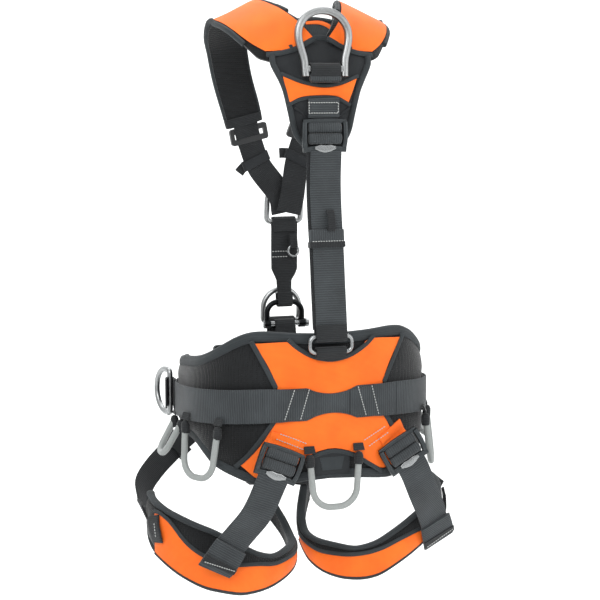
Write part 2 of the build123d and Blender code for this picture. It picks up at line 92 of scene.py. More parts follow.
def woven(name, dark, light, weft, warp, relief, roughness, sheen):
    """Cloth whose threads follow the piece: weft is the rib pitch along it, warp the thread pitch across it."""
    material, tree, shader = finish(name, Roughness=roughness, Sheen_Weight=sheen, Sheen_Roughness=0.45,
                                    Specular_IOR_Level=0.3)
    cloth = add(tree, "ShaderNodeUVMap", uv_map="weave_mm")
    split = add(tree, "ShaderNodeSeparateXYZ", {0: cloth.outputs[0]})
    waves = []
    for axis, pitch in ((1, weft), (0, warp)):
        turn = add(tree, "ShaderNodeMath", {0: split.outputs[axis], 1: 2 * math.pi / pitch}, operation="MULTIPLY")
        waves.append(add(tree, "ShaderNodeMath", {0: turn.outputs[0]}, operation="SINE"))
    threads = add(tree, "ShaderNodeMath", {0: waves[0].outputs[0], 1: 0.5, 2: 0.5}, operation="MULTIPLY_ADD")
    yarn = add(tree, "ShaderNodeMath", {0: waves[1].outputs[0], 1: 0.22, 2: threads.outputs[0]},
               operation="MULTIPLY_ADD")
    place = add(tree, "ShaderNodeTexCoord")
    cloud = add(tree, "ShaderNodeTexNoise", {"Vector": place.outputs["Object"], "Scale": 26.0, "Detail": 5.0})
    shade = add(tree, "ShaderNodeMath", {0: cloud.outputs[0], 1: 0.9, 2: -0.2}, operation="MULTIPLY_ADD")
    both = add(tree, "ShaderNodeMath", {0: yarn.outputs[0], 1: 0.45, 2: shade.outputs[0]}, operation="MULTIPLY_ADD",
               use_clamp=True)
    colour = add(tree, "ShaderNodeMix", {0: both.outputs[0], 6: linear(dark), 7: linear(light)}, data_type="RGBA")
    bump = add(tree, "ShaderNodeBump", {"Height": yarn.outputs[0], "Strength": 0.7, "Distance": relief * MM})
    tree.links.new(colour.outputs[2], shader.inputs["Base Color"])
    tree.links.new(bump.outputs[0], shader.inputs["Normal"])
    return material


def metal(name, dark, light, rough_low, rough_high, grain):
    """Bare or coated metal: tumbling and handling leave a fine uneven gloss, grain is its size in mm."""
    material, tree, shader = finish(name, Metallic=1.0)
    place = add(tree, "ShaderNodeTexCoord")
    cloud = add(tree, "ShaderNodeTexNoise", {"Vector": place.outputs["Object"], "Scale": 1 / (grain * MM),
                                             "Detail": 6.0, "Roughness": 0.65})
    gloss = add(tree, "ShaderNodeMapRange", {"Value": cloud.outputs[0], 1: 0.3, 2: 0.7, 3: rough_low, 4: rough_high})
    colour = add(tree, "ShaderNodeMix", {0: cloud.outputs[0], 6: linear(dark), 7: linear(light)}, data_type="RGBA")
    bump = add(tree, "ShaderNodeBump", {"Height": cloud.outputs[0], "Strength": 0.25, "Distance": 0.1 * MM})
    tree.links.new(gloss.outputs[0], shader.inputs["Roughness"])
    tree.links.new(colour.outputs[2], shader.inputs["Base Color"])
    tree.links.new(bump.outputs[0], shader.inputs["Normal"])
    return material


def moulded(name, dark, light, roughness, grain, relief, coat=0.0):
    """Moulded or extruded plastic with the fine skin of its tool, grain is the skin's size in mm."""
    material, tree, shader = finish(name, Roughness=roughness, Coat_Weight=coat, Coat_Roughness=0.3)
    place = add(tree, "ShaderNodeTexCoord")
    skin = add(tree, "ShaderNodeTexNoise", {"Vector": place.outputs["Object"], "Scale": 1 / (grain * MM),
                                            "Detail": 4.0})
    colour = add(tree, "ShaderNodeMix", {0: skin.outputs[0], 6: linear(dark), 7: linear(light)}, data_type="RGBA")
    bump = add(tree, "ShaderNodeBump", {"Height": skin.outputs[0], "Strength": 0.4, "Distance": relief * MM})
    tree.links.new(colour.outputs[2], shader.inputs["Base Color"])
    tree.links.new(bump.outputs[0], shader.inputs["Normal"])
    return material


def spacer_mesh(name, dark, light, pitch):
    """Knitted 3D spacer mesh: open round cells whose hollows are painted darker as shade, pitch is one cell in mm."""
    material, tree, shader = finish(name, Roughness=0.85, Sheen_Weight=0.25, Specular_IOR_Level=0.2)
    place = add(tree, "ShaderNodeTexCoord")
    cells = add(tree, "ShaderNodeTexVoronoi", {"Vector": place.outputs["Object"], "Scale": 1 / (pitch * MM),
                                               "Randomness": 0.25})
    # Dark in the middle of each cell and light on its rims: painted shade inside the holes, varied by a random tone of
    # the yarn.
    rim = add(tree, "ShaderNodeMapRange", {"Value": cells.outputs["Distance"], 1: 0.18, 2: 0.5, 3: 0.0, 4: 1.0})
    cloud = add(tree, "ShaderNodeTexNoise", {"Vector": place.outputs["Object"], "Scale": 14.0, "Detail": 3.0})
    hole_shade_and_wear = add(tree, "ShaderNodeMath", {0: rim.outputs[0], 1: cloud.outputs[0]}, operation="MULTIPLY")
    colour = add(tree, "ShaderNodeMix", {0: hole_shade_and_wear.outputs[0], 6: linear(dark), 7: linear(light)}, data_type="RGBA")
    bump = add(tree, "ShaderNodeBump", {"Height": rim.outputs[0], "Strength": 0.8, "Distance": 0.5 * MM})
    tree.links.new(colour.outputs[2], shader.inputs["Base Color"])
    tree.links.new(bump.outputs[0], shader.inputs["Normal"])
    return material


# Woven polyester webbing: matt, with a cross rib that catches the light, and a little pile sheen.
webbing = woven("woven_polyester_webbing", "222527", "43484B", 3.2, 1.5, 0.5, 0.72, 0.15)
# The same webbing dyed black, for the shoulder and leg straps.
black_webbing = woven("black_polyester_webbing", "121315", "2A2D2F", 2.4, 1.5, 0.45, 0.75, 0.12)
# Smooth elastic and folded polyester covers: fine weave that shows only as a soft grain.
dark_cover = woven("dark_polyester_cover", "17191B", "2A2D30", 1.4, 1.2, 0.25, 0.8, 0.15)
# Orange ripstop nylon: a bright dyed plain weave with a slightly heavier thread every few millimetres.
orange_cover = woven("orange_ripstop_nylon", "E4570A", "F97A1E", 1.6, 1.6, 0.2, 0.62, 0.1)
# Grosgrain binding tape: narrow ribs across it, greyer than the covers.
binding = woven("grosgrain_binding_tape", "1F2325", "393E41", 1.5, 2.6, 0.35, 0.78, 0.1)
# Black spacer mesh over foam.
mesh_cloth = spacer_mesh("black_spacer_mesh", "060708", "1E2022", 2.8)
# Light grey bonded polyester thread.
thread = moulded("bonded_polyester_thread", "8F9291", "C4C6C4", 0.6, 1.0, 0.1)
# Forged aluminium, tumbled and clear anodised: bright but soft edged reflections.
ring_metal = metal("clear_anodised_aluminium", "7E8081", "B5B7B7", 0.26, 0.42, 2.5)
# Pressed steel with a dark grey coating: low, satin reflections.
dark_steel = metal("dark_coated_pressed_steel", "2C2F31", "55595B", 0.3, 0.46, 1.8)
# Zinc plated steel for bars, pins and cams.
zinc = metal("zinc_plated_steel", "7E8182", "B0B2B3", 0.2, 0.34, 1.2)
# Hard black anodising on the openable link.
black_metal = metal("black_anodised_aluminium", "101113", "2C2E30", 0.28, 0.42, 1.5)
# Extruded soft PVC tube over a cord core.
tube_plastic = moulded("grey_pvc_tube", "7F8382", "9A9E9C", 0.42, 1.6, 0.05)
# Injection moulded black nylon.
nylon = moulded("black_moulded_nylon", "121315", "232527", 0.4, 0.6, 0.06)


# ---- curves ----
def spline(points, count):
    """A smooth line through the given points, with count steps for each span."""
    points = [Vector(p) for p in points]
    if len(points) == 2:
        return [points[0].lerp(points[1], i / count) for i in range(count + 1)]
    ends = [points[0] * 2 - points[1]] + points + [points[-1] * 2 - points[-2]]
    line = []
    for i in range(1, len(ends) - 2):
        a, b, c, d = ends[i - 1:i + 3]
        for step in range(count):
            t = step / count
            line.append(0.5 * (b * 2 + (c - a) * t + (a * 2 - b * 5 + c * 4 - d) * t * t
                               + (b * 3 - a - c * 3 + d) * t ** 3))
    return line + [points[-1]]


def evenly(line, count):
    """The same line in count equal steps."""
    lengths = [0.0]
    for a, b in zip(line, line[1:]):
        lengths.append(lengths[-1] + (b - a).length)
    result = []
    span = 0
    for i in range(count + 1):
        goal = lengths[-1] * i / count
        while span < len(line) - 2 and lengths[span + 1] < goal:
            span += 1
        share = (goal - lengths[span]) / max(lengths[span + 1] - lengths[span], 1e-9)
        result.append(line[span].lerp(line[span + 1], min(max(share, 0), 1)))
    return result


def between(values, share):
    """A value along an evenly spaced list."""
    if len(values) == 1:
        return values[0]
    place = share * (len(values) - 1)
    i = min(int(place), len(values) - 2)
    part = place - i
    a, b = values[i], values[i + 1]
    if isinstance(a, (int, float)):
        return a + (b - a) * part
    return Vector(a).lerp(Vector(b), part)


def table(rows, value):
    """A height read from rows of (place, height), with its corners eased."""
    def straight(at):
        low = rows[0]
        for high in rows[1:]:
            if at <= high[0]:
                return low[1] + (high[1] - low[1]) * max(at - low[0], 0) / (high[0] - low[0])
            low = high
        return rows[-1][1]
    return sum(straight(value + step) for step in (-5, -3, -1, 1, 3, 5)) / 6


# ---- the surfaces the cloth lies on ----
def waist(angle, height, offset):
    """A point off the wearer's waist. Angle 0 is the middle of the back, positive towards +X."""
    run = math.sin(math.radians(angle))
    back = math.cos(math.radians(angle))
    depth, power = (112, 2.8) if back > 0 else (122, 2.6)
    reach = ((abs(run) / 158) ** power + (abs(back) / depth) ** power) ** (-1 / power)
    x, y = run * reach, -back * reach
    normal = Vector((math.copysign((abs(x) / 158) ** (power - 1) / 158, x),
                     math.copysign((abs(y) / depth) ** (power - 1) / depth, y), 0)).normalized()
    return Vector((x, y, height)) + normal * offset


def thigh(side):
    """The outer face of one leg loop. Angle 0 is its back, 90 its outer side."""
    def place(angle, height, offset):
        run = math.sin(math.radians(angle))
        back = math.cos(math.radians(angle))
        normal = Vector((run / 108, -back / 96, 0)).normalized()
        spot = Vector((108 * run, -96 * back, 0)) + normal * offset
        return Vector((side * (114 + spot.x), 15 + spot.y, height))
    return place


def yoke(across, height, offset):
    """The back plate between the shoulders; it leans forward towards the neck."""
    forward = table([(362, 0), (450, 0), (474, 4), (500, 13), (520, 24), (540, 38)], height)
    return Vector((YOKE_X + across, -103 + forward - offset, height))


# ---- meshes ----
def make(name, verts, faces, marks, finish_with, body=ROOT, hides=(), slot="webbing", sharp=40):
    """A finished piece from points in mm; marks are each point's place on its cloth in mm."""
    mesh = bpy.data.meshes.new(name)
    mesh.from_pydata([v * MM for v in verts], [], faces)
    layer = mesh.uv_layers.new(name="weave_mm")
    for loop in mesh.loops:
        layer.data[loop.index].uv = marks[loop.vertex_index]
    work = bmesh.new()
    work.from_mesh(mesh)
    bmesh.ops.recalc_face_normals(work, faces=work.faces)
    work.to_mesh(mesh)
    work.free()
    mesh.shade_smooth()
    mesh.set_sharp_from_angle(angle=math.radians(sharp))
    piece = bpy.data.objects.new(name, mesh)
    bpy.context.scene.collection.objects.link(piece)
    mesh.materials.append(finish_with)
    if body:
        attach(piece, body)
    if hides:
        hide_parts(*hides)
    return piece


def skin(rings, closed=False):
    """Faces that join rings of equal length; open runs get flat ends."""
    count = len(rings[0])
    last = len(rings) if closed else len(rings) - 1
    faces = []
    for i in range(last):
        j = (i + 1) % len(rings)
        for k in range(count):
            n = (k + 1) % count
            faces.append((i * count + k, i * count + n, j * count + n, j * count + k))
    if not closed:
        faces.append(tuple(range(count)))
        faces.append(tuple((len(rings) - 1) * count + k for k in range(count)))
    return faces


# A flat section as (side, edge, height): side runs across, edge adds the rounded selvedge.
FLAT = ([(s / 4, 0, 1) for s in range(-4, 5)] + [(1, 0.75, 0.65), (1, 1, 0), (1, 0.75, -0.65)]
        + [(-s / 4, 0, -1) for s in range(-4, 5)] + [(-1, -0.75, -0.65), (-1, -1, 0), (-1, -0.75, 0.65)])
ROUND = [(0, math.cos(math.radians(a)), math.sin(math.radians(a))) for a in range(0, 360, 30)]


def sweep(name, line, wides, widths, deeps, finish_with, section=FLAT, closed=False, faces_out=None, **rest):
    """A section carried along a line; wides are the width directions and deeps the thicknesses."""
    rings = []
    marks = []
    travelled = 0.0
    total = len(line)
    for i, point in enumerate(line):
        before = line[i - 1] if (i or closed) else point
        after = line[(i + 1) % total] if (i < total - 1 or closed) else point
        run = (after - before).normalized()
        share = i / (total - 1)
        wide = Vector(between(wides, share))
        out = run.cross(wide).normalized()
        wide = out.cross(run).normalized()
        deep = between(deeps, share) / 2
        half = between(widths, share) / 2
        if section is FLAT:
            core, rim = half - deep, deep
        else:
            core, rim = 0, half
        travelled += (point - line[i - 1]).length if i else 0
        ring = []
        for side, edge, height in section:
            across = side * core + edge * rim
            ring.append(point + wide * across + out * (height * deep))
            marks.append((across, travelled))
        rings.append(ring)
    verts = [p for ring in rings for p in ring]
    return make(name, verts, skin(rings, closed), marks, finish_with, **rest)


def strap(name, path, across, widths, finish_with=None, thick=2.6, count=6, ripple=0.3, **rest):
    """Flat webbing through the given points, with the slight wave that used webbing has."""
    line = spline(path, count)
    for i in range(1, len(line) - 1):
        line[i] = line[i] + noise.noise_vector(line[i] * 0.02) * ripple
    wides = across if isinstance(across, list) else [across]
    return sweep(name, line, wides, widths if isinstance(widths, list) else [widths], [thick],
                 finish_with or webbing, **rest)


def fold(centre, axis, reach, down, near, far):
    """A line round a bar: down one side for near, back round and down the other side for far."""
    axis = Vector(axis).normalized()
    down = Vector(down).normalized()
    side = down.cross(axis).normalized()
    centre = Vector(centre)
    arc = []
    for step in range(-6, 7):
        turn = math.radians(step * 15)
        arc.append(centre + side * (math.sin(turn) * reach) - down * (math.cos(turn) * reach))
    return [arc[0] + down * near] + arc + [arc[-1] + down * far]


def trace(surface, outline, offset, step=5, closed=False):
    """A smooth line over a surface through (place, height) points, with the outward direction at each."""
    flat = [Vector((a, z, 0)) for a, z in outline]
    if closed:
        line = spline(flat[-2:] + flat + flat[:2], 8)[16:-8]
    else:
        line = spline(flat, 8)
    solid = [surface(p.x, p.y, offset) for p in line]
    length = sum((b - a).length for a, b in zip(solid, solid[1:]))
    count = max(int(length / step), 4)
    lengths = [0.0]
    for a, b in zip(solid, solid[1:]):
        lengths.append(lengths[-1] + (b - a).length)
    result = []
    span = 0
    for i in range(count + (0 if closed else 1)):
        goal = length * i / count
        while span < len(line) - 2 and lengths[span + 1] < goal:
            span += 1
        share = min(max((goal - lengths[span]) / max(lengths[span + 1] - lengths[span], 1e-9), 0), 1)
        result.append(line[span].lerp(line[span + 1], share))
    points = [surface(p.x, p.y, offset) for p in result]
    outs = [(surface(p.x, p.y, offset + 1) - surface(p.x, p.y, offset)).normalized() for p in result]
    return points, outs


def edging(name, surface, outline, offset, width, deep, closed=True, finish_with=None, inset=0.0, **rest):
    """Binding tape sewn along an outline, a flattened roll as deep as the edge it wraps."""
    points, outs = trace(surface, outline, offset, 5, closed)
    total = len(points)
    wides = []
    for i in range(total):
        before = points[i - 1] if (i or closed) else points[i]
        after = points[(i + 1) % total] if (i < total - 1 or closed) else points[i]
        wides.append((after - before).normalized().cross(outs[i]) * -1)
    points = [p + w * inset for p, w in zip(points, wides)]
    return sweep(name, points, wides, [width], [deep], finish_with or binding, section=ROUND, closed=closed, **rest)


def patch(name, surface, low, high, left, right, offset, finish_with=None, thick=1.2, rows=16, columns=30,
          unit=2.7, swell=0.0, wrinkle=0.25, **rest):
    """A cover panel between four edges: low and high run left to right, left and right run upwards."""
    edges = []
    for edge, count in ((low, columns), (high, columns), (left, rows), (right, rows)):
        edges.append(evenly(spline([Vector((a, z, 0)) for a, z in edge], 8), count))
    low, high, left, right = edges
    front = []
    marks = []
    for i in range(rows + 1):
        v = i / rows
        for j in range(columns + 1):
            u = j / columns
            spot = (low[j] * (1 - v) + high[j] * v + left[i] * (1 - u) + right[i] * u
                    - (low[0] * (1 - u) + low[-1] * u) * (1 - v) - (high[0] * (1 - u) + high[-1] * u) * v)
            rim = min(i, rows - i, j, columns - j)
            lift = thick * (0.45, 0.85, 1.0)[min(rim, 2)] + swell * 16 * u * (1 - u) * v * (1 - v)
            if rim:
                lift += wrinkle * noise.noise(Vector((spot.x * 0.16, spot.y * 0.07, offset)))
            front.append((spot, lift))
            marks.append((spot.x * unit, spot.y))
    verts = [surface(s.x, s.y, offset + lift) for s, lift in front]
    verts += [surface(s.x, s.y, offset) for s, lift in front]
    half = len(front)
    wide = columns + 1
    faces = []
    for i in range(rows):
        for j in range(columns):
            a = i * wide + j
            faces.append((a, a + 1, a + wide + 1, a + wide))
            faces.append((half + a, half + a + wide, half + a + wide + 1, half + a + 1))
    border = ([j for j in range(columns)] + [i * wide + columns for i in range(rows)]
              + [rows * wide + j for j in range(columns, 0, -1)] + [i * wide for i in range(rows, 0, -1)])
    for k, a in enumerate(border):
        b = border[(k + 1) % len(border)]
        faces.append((a, half + a, half + b, b))
    return make(name, verts, faces, marks + marks, finish_with or orange_cover, **rest)


def padding(name, surface, start, end, low, high, thick, finish_with, count=70, edge=0.4, inner=0.0, unit=2.7, **rest):
    """A foam pad over a surface between two angles, full in the middle and thin at its bound edge."""
    rings = []
    marks = []
    for i in range(count + 1):
        share = i / count
        angle = start + (end - start) * share
        z_low, z_high = low(angle), high(angle)
        closing = min(share, 1 - share) * count / 3
        full = edge + (1 - edge) * (1 - max(0, 1 - closing) ** 2)
        ring = []
        for k in range(19):
            w = k / 9 - 1
            ring.append((w, inner + thick * full * (edge + (1 - edge) * (1 - abs(w) ** 5))))
        for k in range(11):
            w = 1 - k / 5
            ring.append((w * 0.985, inner + 0.2 * (1 - abs(w) ** 3)))
        line = []
        for w, offset in ring:
            z = (z_low + z_high) / 2 + w * (z_high - z_low) / 2
            line.append(surface(angle, z, offset))
            marks.append((angle * unit, z))
        rings.append(line)
    verts = [p for ring in rings for p in ring]
    return make(name, verts, skin(rings), marks, finish_with, slot="black_mesh", **rest)


# ---- waist pad ----
PAD_TOP = [(0, 105), (28, 108), (44, 112), (53, 106), (60, 92), (68, 79), (76, 71), (90, 66), (120, 54)]
PAD_LOW = [(0, -91), (20, -93), (43, -99), (55, -85), (63, -76), (69, -66), (76, -46), (90, -42), (120, -36)]
pad_high = lambda a: table(PAD_TOP, abs(a)) - 2
pad_low = lambda a: table(PAD_LOW, abs(a)) + 2


# The belt rides higher over the small of the back than at the hips.
BELT_RISE = [(0, 13), (45, 13), (80, 7), (120, 2)]
belt_mid = lambda a: table(BELT_RISE, abs(a))


def belt_channel(angle, height, offset):
    """The waist surface with the shallow channel that the belt presses into the pad."""
    if offset > 12:
        dip = max(0, 1 - ((height - belt_mid(angle)) / 34) ** 4)
        offset -= 1.6 * dip
    return waist(angle, height, offset)


lumbar = padding("lumbar_pad_body", belt_channel, -120, 120, pad_low, pad_high, 15.2, mesh_cloth, 120,
                 hides=["lumbar_pad"])

rim = [(a, pad_high(a)) for a in range(-114, 115, 6)] + [(119, 52), (121, 30), (121, -10), (119, -33)]
rim += [(a, pad_low(a)) for a in range(114, -115, -6)] + [(-119, -33), (-121, -10), (-121, 30), (-119, 52)]
edging("lumbar_pad_binding", waist, rim, 6, 10, 10.5, inset=0)
# The tape's flat face on the outside of the pad.
edging("lumbar_pad_tape", waist, [(a, z - 4.5 if z > 0 else z + 4.5) if abs(a) < 117 else (a * 0.97, z)
                                  for a, z in rim], 11.2, 10, 2.4)

upper = patch("lumbar_cover_upper", waist,
              low=[(-34, 31), (-22, 31), (-12, 26), (0, 23), (12, 26), (22, 31), (34, 31)],
              high=[(-46, 98), (-27, 99), (-21, 88), (-12, 75), (0, 70), (12, 75), (21, 88), (27, 99), (46, 97)],
              left=[(-34, 31), (-37, 54), (-41, 76), (-46, 98)], right=[(34, 31), (37, 54), (41, 76), (46, 97)],
              offset=14.9, swell=1.6, hides=["lumbar_panel"], slot="orange_fabric")
lower = patch("lumbar_cover_lower", waist,
              low=[(-52, -69), (-43, -90), (-34, -87), (-26, -74), (-15, -57), (0, -50), (15, -57), (26, -72), (33, -84),
                   (44, -78), (50, -62)],
              high=[(-35, -4), (-20, -4), (-10, 1), (0, 3), (10, 1), (20, -4), (35, -4)],
              left=[(-52, -69), (-46, -53), (-40, -30), (-35, -4)], right=[(50, -62), (44, -44), (39, -26), (35, -4)],
              offset=14.9, swell=1.2, slot="orange_fabric")
for name, side in SIDES.items():
    edging("lumbar_side_binding_" + name, waist,
           [(side * 47, 101), (side * 42.5, 76), (side * 38.5, 54), (side * 35.5, 37)], 16.2, 7, 2.2, closed=False)
    edging("lumbar_side_binding_low_" + name, waist,
           [(side * 36.5, -9), (side * 41.5, -29), (side * 48, -54), (side * 54, -72)], 16.2, 7, 2.2, closed=False)
edging("lumbar_notch_binding", waist, [(-29, 103), (-23, 90), (-13, 78), (0, 73), (13, 78), (23, 90), (29, 103)],
       16.4, 6, 2.2, closed=False)
edging("lumbar_arch_binding", waist,
       [(-34, -90), (-27, -78), (-15, -61), (0, -54), (15, -61), (27, -77), (34, -88)], 16.2, 6, 2.2, closed=False)

# The plain document pocket under the middle of the pad.
patch("document_pocket", waist, low=[(-13, -86), (13, -86)], high=[(-13, -60), (0, -57), (13, -60)],
      left=[(-13, -86), (-13, -60)], right=[(13, -86), (13, -60)], offset=15.2, finish_with=dark_cover,
      thick=1.4, rows=8, columns=16, hides=["tag_pocket"])
patch("document_pocket_flap", waist, low=[(-7, -80), (7, -80)], high=[(-9, -62), (9, -62)],
      left=[(-7, -80), (-9, -62)], right=[(7, -80), (9, -62)], offset=16.7, finish_with=binding,
      thick=0.9, rows=6, columns=10)


# ---- belt webbing ----
def belt_line(start, end, rise, offset, count=44):
    """The middle line of the belt between two angles, at the height rise(angle)."""
    angles = [start + (end - start) * i / count for i in range(count + 1)]
    return [waist(a, rise(a), offset) for a in angles]


up = [(0, 0, 1)]
# The two covers sewn over the belt leave only its middle showing at the small of the back.
belt_widths = [WEB - 18 * max(0, 1 - ((i - 60) / 8.5) ** 2) ** 0.8 for i in range(121)]
sweep("belt_webbing_run", belt_line(-120, 120, belt_mid, 17.2, 120), up, belt_widths, [2.6], webbing,
      hides=["belt_webbing"])
# Doubled webbing sleeves over the belt, where the lateral rings and gear loops are sewn in.
for name, side in SIDES.items():
    sweep("belt_sleeve_" + name, belt_line(side * 42, side * 112, belt_mid, 19.9, 50), up, [WEB + 2], [2.2], webbing)
    sweep("belt_cover_" + name, belt_line(side * 13, side * 43, belt_mid, 19.4, 20), up, [34, 41, WEB + 1, WEB + 2], [1.6],
          webbing)
    line = belt_line(side * 122, side * 168, lambda a: abs(a) - 120, 6.9, 26)
    sweep("belt_front_run_" + name, line, up, [WEB], [2.6], webbing, hides=["belt_front_" + name])

# ---- back ring and its loops ----
back_y = -134.05
ring_x = YOKE_X + 1
strap("back_ring_loop_web", fold((ring_x, back_y + 0.5, 86.2), (1, 0, 0), 4.6, (0, 0.42, -1), 10, 10), (1, 0, 0), 44,
      black_webbing, thick=2.2, count=1, ripple=0, hides=["back_ring_loop"])

# ---- back strap ----
back_route = [(YOKE_X, -111, 356), (YOKE_X, -109, 300), (YOKE_X + 1, -119, 210), (YOKE_X + 1, -127, 150),
              (YOKE_X + 1, -131.5, 116)]
strap("back_strap_outer", [Vector(p) + Vector((1.5, -1.7, 0)) for p in back_route], (1, 0, 0), WEB, count=12)
strap("back_strap_inner", [Vector(p) + Vector((-2.5, 1.5, 0)) for p in back_route], (1, 0, 0), WEB, black_webbing,
      count=12, hides=["dorsal_strap"])
strap("back_strap_fold", fold((ring_x, back_y, 103.9), (1, 0, 0), 4.6, (0, 0.12, 1), 18, 18), (1, 0, 0), WEB,
      black_webbing, thick=2.6, count=1, ripple=0)
keeper_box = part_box("dorsal_strap_keeper")
keeper_z = (keeper_box[0][2] + keeper_box[1][2]) / 2 / MM
keeper_y = (keeper_box[0][1] + keeper_box[1][1]) / 2 / MM


def hoop(centre, wide, out, width, deep, corner=2.0):
    """A flat closed line round a strap: half sizes along wide and out."""
    wide, out, centre = Vector(wide).normalized(), Vector(out).normalized(), Vector(centre)
    line = []
    for qx, qy, begin in ((1, 1, 0), (-1, 1, 90), (-1, -1, 180), (1, -1, 270)):
        for step in range(5):
            turn = math.radians(begin + step * 22.5)
            line.append(centre + wide * (qx * (width / 2 - corner) + corner * math.cos(turn))
                        + out * (qy * (deep / 2 - corner) + corner * math.sin(turn)))
    return line


lean = Vector((0, -0.105, -1)).normalized()
keeper_mid = Vector((YOKE_X + 1.2, keeper_y, keeper_z))
sweep("back_strap_keeper", hoop(keeper_mid, (1, 0, 0), (0, 1, -0.105), 47.4, 8.6), [lean], [25], [2.0], webbing,
      closed=True, body="dorsal_keeper", hides=["dorsal_strap_keeper"])
sweep("back_strap_keeper_band", hoop(keeper_mid + lean * 8, (1, 0, 0), (0, 1, -0.105), 49.8, 11.4), [lean], [8],
      [1.6], black_webbing, closed=True, body="dorsal_keeper")
# A small sewn pull tab above the keeper, on the strap.
tab_at = Vector((YOKE_X + 6, -118.6, 262))
strap("back_strap_tab", [tab_at + Vector((0, 2.8, 14)), tab_at + Vector((0, -3, 4)), tab_at + Vector((0, -5, -8)),
                         tab_at + Vector((0, -2, -13)), tab_at + Vector((0, 1.5, -9))], (1, 0, 0), 11,
      black_webbing, thick=1.8, ripple=0)

# ---- yoke ----
YOKE_ROWS = [(362, 22), (372, 34), (385, 40), (404, 44), (425, 49), (440, 53), (455, 60), (474, 70), (490, 68),
             (505, 56), (520, 46), (530, 38)]
half_at = lambda z: table(YOKE_ROWS, z)


def yoke_side(height, across, offset):
    return yoke(across, height, offset)


plate = padding("yoke_plate", lambda z, x, off: yoke(x, z, off - 9.5), 362, 531, lambda z: -half_at(z) + 2,
                lambda z: half_at(z) - 2, 10.2, dark_cover, 60, edge=0.5, unit=1, hides=["yoke_pad"])
outline = [(z, half_at(z)) for z in range(366, 492, 9)]
border = [(-x, z) for z, x in reversed(outline)] + [(-16, 359), (0, 357.5), (16, 359)] + [(x, z) for z, x in outline]
edging("yoke_binding", yoke, border, -2.8, 8, 9.5, closed=False)

bow = patch("yoke_bow_cover", yoke, low=[(-49, 421), (-30, 429), (0, 431), (22, 429), (37, 421)],
            high=[(-57, 456), (-30, 446), (0, 441), (25, 444), (49, 453)],
            left=[(-49, 421), (-53, 438), (-57, 456)], right=[(37, 421), (43, 436), (49, 453)],
            offset=1.1, unit=1, hides=["yoke_bow_panel"], slot="orange_fabric")
edging("yoke_bow_edge_high", yoke, [(-60, 460), (-30, 449), (0, 444), (25, 447), (52, 457)], 1.5, 5, 2, closed=False)
edging("yoke_bow_edge_low", yoke, [(-52, 417), (-30, 426), (0, 428), (22, 426), (40, 417)], 1.5, 5, 2, closed=False)
# Above the ring: the collar plate, a narrow orange piping and the arch of tape that closes the plate.
patch("yoke_collar_cover", yoke, low=[(-40, 498), (-20, 508), (0, 511), (20, 507), (40, 497)],
      high=[(-38, 527), (0, 530), (34, 526)], left=[(-40, 498), (-38, 527)], right=[(40, 497), (34, 526)],
      offset=1.0, finish_with=binding, unit=1, rows=8)
patch("yoke_collar_piping", yoke, low=[(-14, 526), (5, 526), (19, 519), (28, 506)],
      high=[(-16, 530), (8, 531), (24, 523), (33, 506)], left=[(-14, 526), (-16, 530)], right=[(28, 506), (33, 506)],
      offset=2.2, unit=1, rows=4, slot="orange_fabric")
edging("yoke_arch", yoke, [(-44, 494), (-24, 504), (0, 508), (24, 503), (44, 492)], 2.6, 8, 2.6, closed=False)
edging("yoke_collar_edge", yoke, [(-38, 529), (-18, 532), (0, 533), (18, 531), (36, 527)], 0.5, 7, 6, closed=False)
# Side folds of the lower plate, where its cover is stitched down.
for name, side in SIDES.items():
    edging("yoke_fold_" + name, yoke, [(side * 40, 414), (side * 26, 404), (side * 23, 392)], 0.4, 3, 1.6,
           closed=False, finish_with=dark_cover)

# ---- shoulders ----
BACK = [(30, -93, 480), (56, -82, 507), (80, -46, 532)]
FRONT = [(92, 0, 541), (97, 24, 522), (87, 48, 494), (74, 64, 452), (58, 76, 410), (51, 81, 388)]
ACROSS = [(0.75, 0, -0.65), (0.8, -0.05, -0.6), (0.88, -0.12, -0.42), (0.9, -0.14, -0.43), (0.94, 0, -0.3),
          (0.96, 0.1, -0.25), (0.96, 0.15, -0.3), (0.94, 0.2, -0.34), (0.94, 0.2, -0.36)]
WIDE = [70, 84, 82, 74, 60, 55, 53, 52, 50]


def shoulder(side):
    """The outer face of one shoulder pad: place runs 0 at the yoke to 8 at the chest buckle, across in mm."""
    line = spline([(YOKE_X + side * x, y, z) for x, y, z in BACK + FRONT], 10)
    wides = [Vector((side * x, y, z)) for x, y, z in ACROSS]

    def place(at, across, offset):
        spot = min(max(at, 0), 7.999) * 10
        i = int(spot)
        here = line[i].lerp(line[i + 1], spot - i)
        run = (line[min(i + 2, len(line) - 1)] - line[max(i - 1, 0)]).normalized()
        wide = between(wides, spot / 80)
        out = run.cross(wide).normalized() * -side
        wide = out.cross(run).normalized() * -side
        return here + wide * across + out * offset
    return place


